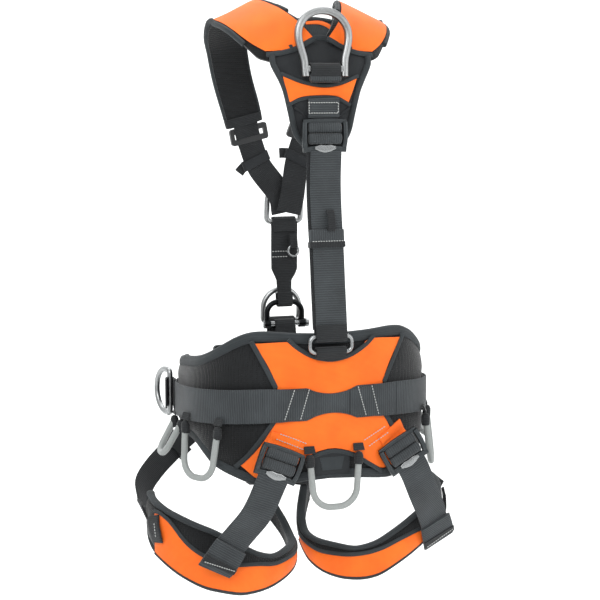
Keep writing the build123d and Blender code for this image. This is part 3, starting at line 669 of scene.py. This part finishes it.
for name, side in SIDES.items():
    face = shoulder(side)
    half = lambda a: between(WIDE, a / 8) / 2 - 1.5
    body_pad = padding("shoulder_pad_body_" + name, lambda a, z, off, f=face: f(a, z, off - 5), 0.15, 7.98,
                       lambda a: -half(a), lambda a: half(a) - 16 * max(0, 1 - a), 10.4, mesh_cloth, 70, edge=0.5,
                       unit=30,
                       hides=["shoulder_pad_" + name])
    for edge_name, sign in (("inner", -1), ("outer", 1)):
        track = [(a / 2, sign * half(a / 2)) for a in range(3, 16)]
        edging("shoulder_binding_" + edge_name + "_" + name, face, track, 1.2, 7.5, 9, closed=False)
    patch("shoulder_cover_" + name, face,
          low=[(0.14, -33), (1.2, -35), (2, -36), (3.05, -34)],
          high=[(0.95, 28), (1.4, 34), (2, 36), (3.15, 32)],
          left=[(0.14, -33), (0.45, 0), (0.95, 28)], right=[(3.05, -34), (3.1, 0), (3.15, 32)],
          offset=5.2, unit=30, rows=14, columns=26, hides=["shoulder_panel_" + name], slot="orange_fabric")
    edging("shoulder_cover_edge_" + name, face, [(0.1, -34), (0.38, 0), (0.85, 31)], 6.2, 7, 2.2, closed=False)

# ---- chest straps ----
def own_material(node, finish_with):
    """Give a carried-over CAD node its real finish."""
    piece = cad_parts[node]
    piece.data.materials.clear()
    piece.data.materials.append(finish_with)


for name, side in SIDES.items():
    depth = 90 if side < 0 else 84.2
    route = [(YOKE_X + side * 51, 78, 392), (YOKE_X + side * 46, 82, 374), (YOKE_X + side * 40, 85, 359), (YOKE_X + side * 28 + 3, 88, 325), (FRONT_X + side * 9, depth, 285),
             (FRONT_X + side * 3, depth, 258)]
    across = Vector((0.88, 0.05, side * -0.42))
    strap("shoulder_strap_run_" + name, route, across, 38, black_webbing, count=10,
          hides=["shoulder_strap_" + name])
    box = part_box("shoulder_keeper_" + name)
    middle = (box[0] + box[1]) / 2 / MM
    run = (Vector(route[3]) - Vector(route[2])).normalized()
    out = run.cross(across).normalized()
    sweep("shoulder_keeper_band_" + name, hoop(middle, across, out, 42, 6.6), [run], [14], [1.6], dark_cover,
          closed=True, hides=["shoulder_keeper_" + name])
    # The free end of the strap stands out from its keeper.
    end = middle + across.normalized() * (26 * -1) - out * 2
    strap("shoulder_tail_" + name, [middle - across * 18 - out * 3, end + run * 3, end + run * 5 - across * 4], run, 15,
          black_webbing, thick=2.2, ripple=0)
    # Ribbed elastic sleeve at the foot of the pad.
    face = shoulder(side)
    own = sweep("shoulder_elastic_" + name,
                [face(7.35 + step * 0.09, 0, 0) for step in range(8)],
                [face(7.6, 1, 0) - face(7.6, 0, 0)], [56, 55], [13.4], black_webbing)
own_material("shoulder_buckles", nylon)

strap("chest_strap", [(FRONT_X + 1, 98, 244), (FRONT_X + 1, 98, 205), (FRONT_X + 1, 98, 175), (FRONT_X, 97, 158),
                      (FRONT_X, 94.5, 138)], (1, 0, 0), [41, 41, 40.5, 24, 22], black_webbing, thick=4.6,
      hides=["sternal_strap"])
strap("chest_strap_fold_high", fold((FRONT_X + 1, 102, 245), (1, 0, 0), 5.6, (0, -0.25, -1), 16, 16), (1, 0, 0), 36,
      black_webbing, count=1, ripple=0)
strap("chest_strap_fold_low", fold((FRONT_X, 95, 126), (1, 0, 0), 5.9, (0, 0.1, 1), 14, 14), (1, 0, 0), 23,
      black_webbing, count=1, ripple=0)
ring_mid = (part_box("accessory_ring")[0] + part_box("accessory_ring")[1]) / 2 / MM
strap("accessory_tab_web", fold((ring_mid.x, ring_mid.y, ring_mid.z + 8), (1, 0, 0), 3.2, (0, 0.25, 1), 16, 18),
      (1, 0, 0), 12, black_webbing, thick=1.5, count=1, ripple=0, hides=["accessory_tab"])
strap("ventral_bridge_web", [(FRONT_X, 104, -8), (FRONT_X, 104, 30), (FRONT_X, 104, 76)], (1, 0, 0), 42,
      black_webbing, thick=5.4, hides=["ventral_bridge"])
strap("ventral_bridge_fold_ring", fold((FRONT_X, 111, 96), (1, 0, 0), 5.7, (0, -0.2, -1), 26, 26), (1, 0, 0), 42,
      black_webbing, count=1, ripple=0)
strap("ventral_bridge_fold_link", fold((FRONT_X, 95, 94), (1, 0, 0), 5.7, (0, 0.3, -1), 26, 26), (1, 0, 0), 30,
      black_webbing, count=1, ripple=0)

# ---- dorsal attachment ----
bar = Vector((YOKE_X, -111, 466))
tilt = Matrix.Rotation(math.radians(-7), 3, "X")
bow_half = [(-26, -10), (-26.5, 2), (-27.5, 14), (-31, 28), (-33.6, 42), (-32, 56), (-24, 69), (-12, 76.5), (0, 78.5)]
bow_line = bow_half + [(-x, z) for x, z in reversed(bow_half[:-1])]
bow_path = [bar + tilt @ p for p in spline([(x * 1.07, 0, z) for x, z in bow_line], 8)]
FORGED = [(0, math.copysign(abs(math.cos(math.radians(a))) ** 0.7, math.cos(math.radians(a))),
           math.copysign(abs(math.sin(math.radians(a))) ** 0.7, math.sin(math.radians(a)))) for a in range(0, 360, 18)]
wides = []
for i, p in enumerate(bow_path):
    before, after = bow_path[max(i - 1, 0)], bow_path[min(i + 1, len(bow_path) - 1)]
    wides.append((after - before).normalized().cross(tilt @ Vector((0, 1, 0))))
sweep("dorsal_ring_bow", bow_path, wides, [10.4], [9.4], ring_metal, section=FORGED, body="dorsal_ring",
      hides=["dorsal_d_ring"], slot="ring_metal")
sweep("dorsal_ring_bar", [bar + Vector((x, 0, 0)) for x in (-28, -20, 0, 20, 28)], [(0, 0, 1)], [9.6], [9.6],
      ring_metal, section=FORGED, body="dorsal_ring", slot="ring_metal")
# The ribs left by the forging run along both faces of the bow.
for face_name, way in (("back", -1), ("front", 1)):
    sweep("dorsal_ring_rib_" + face_name, [p + tilt @ Vector((0, way * 4.2, 0)) for p in bow_path[3:-3]], wides,
          [4.4], [2.4], ring_metal, section=FORGED, body="dorsal_ring", slot="ring_metal")

strap("dorsal_loop_web", fold(bar, (1, 0, 0), 6.9, (0, 0.14, -1), 13, 16), (1, 0, 0), 43, black_webbing, thick=2.6,
      count=1, ripple=0, hides=["dorsal_webbing"])
sweep("dorsal_loop_roll", [bar + Vector((x, -2.5, -12)) for x in (-22, -20.5, -10, 10, 20.5, 22)], [(0, 0, 1)],
      [9, 12, 12, 12, 12, 9], [7, 9.6, 9.6, 9.6, 9.6, 7], webbing, section=ROUND)
strap("dorsal_loop_hem", [(YOKE_X, -107.4, 427), (YOKE_X, -108.4, 416), (YOKE_X, -108.0, 401)], (1, 0, 0), WEB,
      webbing, thick=2.8)


# ---- adjusters ----
def adjuster(name, origin, across, up_way, frame_node, bar_body, bar_node):
    """A pressed adjuster: coated frame, two webbing rolls and, under the lower one, a bright zinc crescent that is a
    painted glint on the frame's chamfered foot.
    """
    across, up_way, origin = Vector(across).normalized(), Vector(up_way).normalized(), Vector(origin)
    out = Vector((0, -1, 0))

    def at(x, y, z):
        return origin + across * x + up_way * y + out * z
    side_line = [(-29, 17), (-29.5, 4), (-29, -8), (-28, -17)]
    for hand in (-1, 1):
        line = spline([at(hand * -x, y, z) for (x, y), z in zip(side_line, (0.5, 1.5, 1.5, 0))], 5)
        sweep(name + "_cheek_" + ("a" if hand < 0 else "b"), line, [across], [7.4], [7.0], dark_steel,
              section=FORGED, hides=[frame_node], slot="buckle_metal")
    for label, y, z, width, deep in (("head", 18.5, -0.5, 7.5, 5), ("foot", -18.5, 0.4, 9.5, 4.4)):
        line = spline([at(x, y - 0.0016 * x * x * (1 if y < 0 else 0.6), z) for x in (-31, -16, 0, 16, 31)], 4)
        sweep(name + "_" + label, line, [up_way], [width * 0.8, width, width, width * 0.8], [deep], dark_steel,
              section=FORGED, slot="buckle_metal")
    strap(name + "_backing", [at(0, 16, -4.5), at(0, 0, -4.5), at(0, -16, -3.5)], across, 45, black_webbing, thick=2.2,
          count=2, ripple=0)
    sweep(name + "_roll_high", [at(x, 9.4, 1.2) for x in (-23.5, -22, -10, 10, 22, 23.5)], [up_way],
          [10, 14, 14, 14, 14, 10], [6, 9.4, 9.4, 9.4, 9.4, 6], webbing, section=ROUND)
    sweep(name + "_roll_low", [at(x, -5.4, 2.4) for x in (-23.5, -22, -10, 10, 22, 23.5)], [up_way],
          [11, 15, 15, 15, 15, 11], [7, 11.4, 11.4, 11.4, 11.4, 7], webbing, section=ROUND, body=bar_body,
          hides=[bar_node])
    # A bright zinc crescent raised off the chamfered foot of the frame: a painted glint, not a part of the adjuster.
    glint_line = spline([at(x, -17.5 - 0.006 * (16 - abs(x)) ** 2, 3.4) for x in (-15, -8, 0, 8, 15)], 4)
    sweep(name + "_foot_glint", glint_line, [up_way], [4, 9, 10, 9, 4], [2.2], zinc, section=FORGED, slot="steel")


adjuster("dorsal_adjuster", (YOKE_X, -110.5, 378), (1, 0, 0), (0, 0, 1), "dorsal_buckle_frame", "dorsal_bar",
         "dorsal_buckle_bar")


def over_pad(x, z, offset):
    """The point of the lumbar pad's face with the given x."""
    angle = min([a / 2 for a in range(-120, 121)], key=lambda a: abs(waist(a, z, offset).x - x))
    return waist(angle, z, offset)


SPOTS = {"left": (-79, -63, 22, -136.4), "right": (106, -61, -30, -128.4)}
for name, (x, z, turn, y) in SPOTS.items():
    across = Vector((math.cos(math.radians(turn)), 0, -math.sin(math.radians(turn))))
    up_way = Vector((math.sin(math.radians(turn)), 0, math.cos(math.radians(turn))))
    adjuster("leg_adjuster_" + name, (x, y, z), across, up_way, "leg_buckle_" + name + "_frame", "leg_bar_" + name,
             "leg_buckle_" + name + "_bar")
    spots = [Vector((x, y, z)) + up_way * rise for rise in (37, 29, 20)]
    tangents = [over_pad(p.x + across.x * 9, p.z, 15) - over_pad(p.x - across.x * 9, p.z, 15) +
                Vector((0, 0, across.z * 18)) for p in spots]
    web = [over_pad(p.x, p.z, 17.2) for p in spots] + [Vector((x, y - 1, z)) + up_way * 13]
    strap("leg_riser_head_" + name, web, tangents + [across], 43, orange_cover, thick=2.2, count=3, ripple=0,
          slot="orange_fabric", hides=["leg_riser_tops"] if name == "left" else ())

# ---- leg loops ----
LEG_TOP = [(-132, -128), (-112, -172), (-90, -200), (-70, -206), (-50, -208), (-30, -212), (-13, -203), (0, -189),
           (22, -167), (50, -150), (76, -138), (106, -128)]
LEG_LOW = {"left": [(-132, -168), (-112, -196), (-90, -217), (-74, -230), (-57, -240), (-38, -248), (-20, -256),
                    (0, -259), (28, -248), (45, -235), (65, -217), (86, -202), (106, -184)],
           "right": [(-132, -168), (-112, -196), (-90, -217), (-74, -239), (-57, -251), (-41, -256), (-25, -256),
                     (-12, -251), (5, -233), (28, -210), (50, -202), (86, -194), (106, -180)]}
COVER_TOP = {"left": [(-92, -210), (-68, -219), (-40, -222), (-27, -224), (-13, -219), (7, -217), (22, -209),
                      (36, -196), (48, -177), (55, -160), (64, -152), (72, -147), (80, -152)],
             "right": [(-92, -206), (-83, -212), (-62, -222), (-36, -223), (-20, -219), (-7, -211), (3, -202),
                       (20, -192), (44, -186), (66, -180), (80, -176)]}
RISER = {"left": [(-93, -139, -92), (-107, -130, -128), (-124, -112, -160), (-139, -97, -186), (-152, -92, -207)],
         "right": [(123, -128, -88), (141, -118, -122), (160, -100, -152), (176, -82, -182), (184, -72, -200)]}
FRONT_ROUTE = [(-218, 52, -152), (-212, 76, -130), (-192, 98, -112), (-164, 116, -92), (-124, 132, -66),
               (-80, 139, -40), (-42, 138, -18)]
INNER_ROUTE = [(-40, 94, -136), (-33, 106, -100), (-25, 112, -62), (-20, 112, -28)]



def flex(piece, node):
    """Webbing between the harness and the leg loop: hides the CAD strap it stands in for and bakes its placement into
    its mesh.
    """
    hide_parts(node)
    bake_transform(piece)


for name, side in SIDES.items():
    leg = "leg_" + name
    face = thigh(side)
    low = lambda a, n=name: table(LEG_LOW[n], a) + 1.5
    high = lambda a: table(LEG_TOP, a) - 1.5
    pad = padding(leg + "_pad_body", lambda a, z, off, f=face: f(a, z, off - 12), -131, 105, low, high, 13,
                  mesh_cloth, 80, unit=1.8, body=leg, hides=["leg_pad_" + name])
    rim = [(a, high(a)) for a in range(-126, 103, 6)] + [(105, -134), (106.5, -156), (105, -178)]
    rim += [(a, low(a)) for a in range(102, -127, -6)] + [(-131, -162), (-132.5, -148), (-131, -134)]
    edging(leg + "_pad_binding", face, rim, -6.5, 8, 12, body=leg)
    track = [(a, table(COVER_TOP[name], a)) for a in range(-92, 81, 6)]
    patch(leg + "_cover", face, low=[(a, low(a) + 1.5) for a in range(-92, 81, 6)], high=track,
          left=[(-92, low(-92) + 1.5), track[0]], right=[(track[-1][0], low(track[-1][0]) + 1.5), track[-1]],
          offset=0.4, columns=60, unit=1.8, swell=1.4, body=leg, hides=["leg_panel_" + name], slot="orange_fabric")
    edging(leg + "_cover_edge", face, [(a, z + 2.5) for a, z in track], 1.4, 6, 2.4, closed=False, body=leg)
    edging(leg + "_low_tape", face, [(a, low(a) + 0.5) for a in range(-92, 81, 6)], 0.6, 4, 3, closed=False, body=leg)

    turn = SPOTS[name][2]
    across = Vector((math.cos(math.radians(turn)), 0, -math.sin(math.radians(turn))))
    route = RISER[name]
    spot_x, spot_z, _, spot_y = SPOTS[name]
    down = Vector((-math.sin(math.radians(turn)), 0, -math.cos(math.radians(turn))))
    inside = Vector((spot_x, spot_y + 1.5, spot_z)) + down * 9
    riser = strap(leg + "_riser_web", [inside] + route, [across, across, across, (across + Vector((0, side * 0.25, 0)))], [WEB],
                  webbing, count=8, ripple=1.0, body=None, slot="webbing")
    flex(riser, "leg_riser_" + name)
    # The sewn block that anchors the riser on the pad.
    spot = Vector(route[-1])
    run = (spot - Vector(route[-2])).normalized()
    out = run.cross(across).normalized()
    if out.y > 0:
        out = out * -1
    strap(leg + "_riser_block", [spot - run * 30 + out * 3.2, spot - run * 14 + out * 4.2, spot + run * 2 + out * 3.6,
                                 spot + run * 12 + out * 1.5], across, [50, 52, 53, 52], webbing, thick=4.6, body=leg)
    strap(leg + "_riser_hem", [spot - run * 6 + out * 7.2, spot + run * 4 + out * 6.6], across, [52, 52], black_webbing,
          thick=2.4, body=leg)

    outer = [face(90, -158, 3.2), face(102, -155, 5)] + [(side * -x, y, z) for x, y, z in FRONT_ROUTE]
    web = strap(leg + "_front_web", outer, (side * 0.35, 0.35, 0.87), 34, black_webbing, ripple=0.8, body=None,
                slot="webbing")
    flex(web, "leg_front_strap_" + name)
    inner = [face(-122, -143, 3.4), face(-132, -140, 5)] + [(side * -x, y, z) for x, y, z in INNER_ROUTE]
    web = strap(leg + "_inner_web", inner, (0.9, side * -0.4, 0), 30, black_webbing, ripple=0.8, body=None,
                slot="webbing")
    flex(web, "leg_inner_strap_" + name)
    own_material("leg_front_buckle_" + name, nylon)
    # Elastic keeper with a stitched end on the outer side of the pad.
    mid_z = (table(LEG_LOW[name], 80) + table(LEG_TOP, 80)) / 2
    strap(leg + "_elastic_keeper", [face(76, mid_z + 18, 2.6), face(74, mid_z + 6, 4.6), face(71, mid_z - 8, 4.6),
                                    face(70, mid_z - 18, 2.6)], face(78, 0, 0) - face(70, 0, 0), 27, black_webbing,
          thick=3, body=leg)

# ---- hardware that keeps its CAD shape ----
for node in ("sternal_d_ring", "ventral_d_ring", "lateral_d_ring_left", "lateral_d_ring_right"):
    own_material(node, ring_metal)
for node in ("belt_buckle_left", "belt_buckle_right"):
    own_material(node, dark_steel)
for node in ("accessory_ring", "link_bolt", "back_ring"):
    own_material(node, zinc)
own_material("link_ring", black_metal)
for node in ("gear_loop_rear", "gear_loop_left_back", "gear_loop_right_back", "gear_loop_left_front",
             "gear_loop_right_front"):
    own_material(node, tube_plastic)

# ---- sewn ends of the gear loops ----
GEAR_ENDS = {"gear_loop_rear": (1, 72, -62), "gear_loop_left_back": (-69, 66, -22),
             "gear_loop_right_back": (69, 66, -22), "gear_loop_left_front": (-94, 36, -26),
             "gear_loop_right_front": (94, 36, -26)}
for name, (angle, wide, height) in GEAR_ENDS.items():
    along = (waist(angle + 2, 0, 0) - waist(angle - 2, 0, 0)).normalized()
    out = (waist(angle, 0, 10) - waist(angle, 0, 0)).normalized()
    for end_name, hand in (("a", -1), ("b", 1)):
        end = waist(angle, height, 21) + along * hand * wide / 2
        # The tab sewn to the pad stays, and the sleeve round the tube swings with the loop.
        strap(name + "_tab_" + end_name, [end + Vector((0, 0, z)) + out * lift for z, lift in
                                          ((17, -3.4), (11.5, -1.0), (7.6, 0.6))], along, [15, 16, 17],
              black_webbing, thick=2, count=4, ripple=0)
        sweep(name + "_sleeve_" + end_name, [end + Vector((-along.x * hand * s, -along.y * hand * s, z)) for z, s in
                                             ((6, 0), (4.4, 0), (0, 0), (-5, 0.4), (-11, 0.9))], [along],
              [4, 9.5, 13, 13, 12.4], [3, 9, 12, 12, 11.6], black_webbing, section=ROUND, body=name + "_body")

# ---- lateral ring tabs ----
for name, side in SIDES.items():
    root = waist(side * 106, 10, 18.4 + 4 + 2.6 + 1)
    along = (waist(side * 112, 0, 0) - waist(side * 100, 0, 0)).normalized()
    strap("lateral_tab_" + name, fold(root, (0, 0, 1), 5.6, along * -1, 20, 20), (0, 0, 1), 42, black_webbing,
          count=1, ripple=0, hides=["lateral_d_tabs"] if name == "left" else ())


# ---- stitching ----
def stitch_tree():
    """Geometry nodes that lay thread stitches along the edges they are given."""
    tree = bpy.data.node_groups.new("lock_stitch", "GeometryNodeTree")
    face = tree.interface
    face.new_socket("Geometry", in_out="INPUT", socket_type="NodeSocketGeometry")
    sizes = {}
    for label, value in (("Stitch pitch", 3.6), ("Stitch length", 3.2), ("Thread diameter", 1.5)):
        socket = face.new_socket(label, in_out="INPUT", socket_type="NodeSocketFloat")
        socket.default_value = value * MM
        sizes[label] = socket.identifier
    thread_socket = face.new_socket("Thread", in_out="INPUT", socket_type="NodeSocketMaterial")
    face.new_socket("Geometry", in_out="OUTPUT", socket_type="NodeSocketGeometry")
    given = add(tree, "NodeGroupInput")
    rows = add(tree, "GeometryNodeMeshToCurve", {0: given.outputs["Geometry"]})
    spaced = add(tree, "GeometryNodeResampleCurve", {"Curve": rows.outputs[0], "Length": given.outputs["Stitch pitch"]},
                 mode="LENGTH")
    half = add(tree, "ShaderNodeMath", {0: given.outputs["Stitch length"], 1: 0.5}, operation="MULTIPLY")
    thin = add(tree, "ShaderNodeMath", {0: given.outputs["Thread diameter"], 1: 0.5}, operation="MULTIPLY")
    size = add(tree, "ShaderNodeCombineXYZ", {0: thin.outputs[0], 1: thin.outputs[0], 2: half.outputs[0]})
    bead = add(tree, "GeometryNodeMeshUVSphere", {"Segments": 6, "Rings": 5, "Radius": 1.0})
    stitch = add(tree, "GeometryNodeTransform", {"Geometry": bead.outputs[0], "Scale": size.outputs[0]})
    way = add(tree, "GeometryNodeInputTangent")
    turn = add(tree, "FunctionNodeAlignRotationToVector", {"Vector": way.outputs[0]}, axis="Z")
    laid = add(tree, "GeometryNodeInstanceOnPoints", {"Points": spaced.outputs[0], "Instance": stitch.outputs[0],
                                                      "Rotation": turn.outputs[0]})
    real = add(tree, "GeometryNodeRealizeInstances", {0: laid.outputs[0]})
    dyed = add(tree, "GeometryNodeSetMaterial", {"Geometry": real.outputs[0], "Material": given.outputs["Thread"]})
    add(tree, "NodeGroupOutput", {0: dyed.outputs[0]})
    return tree, sizes, thread_socket.identifier


stitches, stitch_sizes, stitch_thread = stitch_tree()
rows = {}


def row(body, points):
    rows.setdefault(body, []).append([Vector(p) for p in points])


def sew(body):
    """All the stitch rows on one body become one plain mesh."""
    verts, edges = [], []
    for points in rows[body]:
        for i, p in enumerate(points):
            if i:
                edges.append((len(verts) - 1, len(verts)))
            verts.append(p * MM)
    mesh = bpy.data.meshes.new("rows")
    mesh.from_pydata(verts, edges, [])
    guide = bpy.data.objects.new("rows", mesh)
    bpy.context.scene.collection.objects.link(guide)
    modifier = guide.modifiers.new("sewing", "NODES")
    modifier.node_group = stitches
    modifier[stitch_thread] = thread
    graph = bpy.context.evaluated_depsgraph_get()
    graph.update()
    sewn = bpy.data.meshes.new_from_object(guide.evaluated_get(graph))
    sewn.name = "stitching_" + body
    bpy.data.objects.remove(guide)
    piece = bpy.data.objects.new("stitching_" + body, sewn)
    bpy.context.scene.collection.objects.link(piece)
    sewn.shade_smooth()
    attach(piece, body)


def on(surface, spots, offset):
    return [surface(a, z, offset) for a, z in spots]


for first, last in (((-26, 33), (-31, -5)), ((-17, 33), (-22, -5)), ((18, 33), (23, -5)), ((27, 33), (31, -5))):
    row(ROOT, on(waist, [first, last], 20.6))
for first, last in (((-33, -26), (-19, -40)), ((-35, -33), (-21, -48)), ((35, -26), (23, -41)), ((37, -35), (26, -50))):
    row(ROOT, on(waist, [first, ((first[0] + last[0]) / 2, (first[1] + last[1]) / 2), last], 18.9))
row(ROOT, [(YOKE_X - 22, -110.3, 421), (YOKE_X + 20, -110.3, 421), (YOKE_X + 20, -110.3, 407),
           (YOKE_X - 22, -110.3, 407), (YOKE_X - 22, -110.3, 421)])
row("dorsal_keeper", [keeper_mid + Vector((x, -5.8, -3)) for x in (-21, 21)])
for z in (201, 193):
    row(ROOT, [(FRONT_X - 17, 95.2, z), (FRONT_X + 3, 95.2, z)])
for name, side in SIDES.items():
    spot = Vector(RISER[name][-1])
    run = (spot - Vector(RISER[name][-2])).normalized()
    turn = SPOTS[name][2]
    across = Vector((math.cos(math.radians(turn)), 0, -math.sin(math.radians(turn))))
    out = run.cross(across).normalized()
    if out.y > 0:
        out = out * -1
    row("leg_" + name, [spot + out * 8.6 + across * x + run * 1 for x in (-22, 22)])
    face = thigh(side)
    mid_z = (table(LEG_LOW[name], 80) + table(LEG_TOP, 80)) / 2
    row("leg_" + name, [face(71.5, mid_z + 8, 6.8), face(70, mid_z - 8, 6.8)])
for body in rows:
    sew(body)

# ---- floor, light and camera ----
floor_paint = moulded("matt_pale_floor", "F2F3F3", "F6F7F7", 0.9, 40, 0.02)


def backdrop():
    """A pale floor that curves up into a wall."""
    line = [(-6.0, -0.62), (1.5, -0.62), (2.6, -0.5), (3.4, -0.05), (3.8, 0.9), (3.9, 4.5)]
    profile = spline([(0, y, z) for y, z in line], 8)
    verts = [(x, p.y, p.z) for p in profile for x in (-7, 7)]
    faces = [(i * 2, i * 2 + 1, i * 2 + 3, i * 2 + 2) for i in range(len(profile) - 1)]
    mesh = bpy.data.meshes.new("studio_floor")
    mesh.from_pydata(verts, [], faces)
    mesh.shade_smooth()
    floor = bpy.data.objects.new("studio_floor", mesh)
    bpy.context.scene.collection.objects.link(floor)
    mesh.materials.append(floor_paint)


def softbox(name, spot, size, power, aim=(0, 0, 0.15)):
    light = bpy.data.lights.new(name, "AREA")
    light.shape = "RECTANGLE"
    light.size, light.size_y = size
    light.energy = power
    lamp = bpy.data.objects.new(name, light)
    lamp.location = spot
    lamp.rotation_euler = (Vector(spot) - Vector(aim)).to_track_quat("Z", "Y").to_euler()
    bpy.context.scene.collection.objects.link(lamp)


backdrop()
softbox("key_light", (-1.6, -2.6, 2.2), (2.2, 2.2), 64)
softbox("fill_light", (2.4, -2.2, 1.0), (2.4, 2.4), 30)
softbox("top_light", (0.2, 0.4, 2.6), (2.6, 2.6), 42)
softbox("wall_light", (0.0, 1.2, 2.4), (4.0, 1.5), 90, aim=(0, 3.6, 0.4))
world = bpy.data.worlds.new("studio")
world.use_nodes = True
world.node_tree.nodes["Background"].inputs[0].default_value = linear("FFFFFF")
world.node_tree.nodes["Background"].inputs[1].default_value = 0.75
bpy.context.scene.world = world

azimuth, height = math.radians(-20), math.radians(7)
back = Vector((math.sin(azimuth) * math.cos(height), -math.cos(azimuth) * math.cos(height), math.sin(height)))
right = Vector((math.cos(azimuth), math.sin(azimuth), 0))
lens = bpy.data.cameras.new("camera")
lens.lens = 109.56
lens.sensor_width = 36
camera = bpy.data.objects.new("camera", lens)
bpy.context.scene.collection.objects.link(camera)
turned = Matrix((right, back.cross(right), back)).transposed().to_4x4()
camera.matrix_world = Matrix.Translation(Vector((0, 0, 0.14)) + back * 2.6) @ turned
bpy.context.scene.camera = camera
bpy.context.scene.view_settings.view_transform = "Standard"
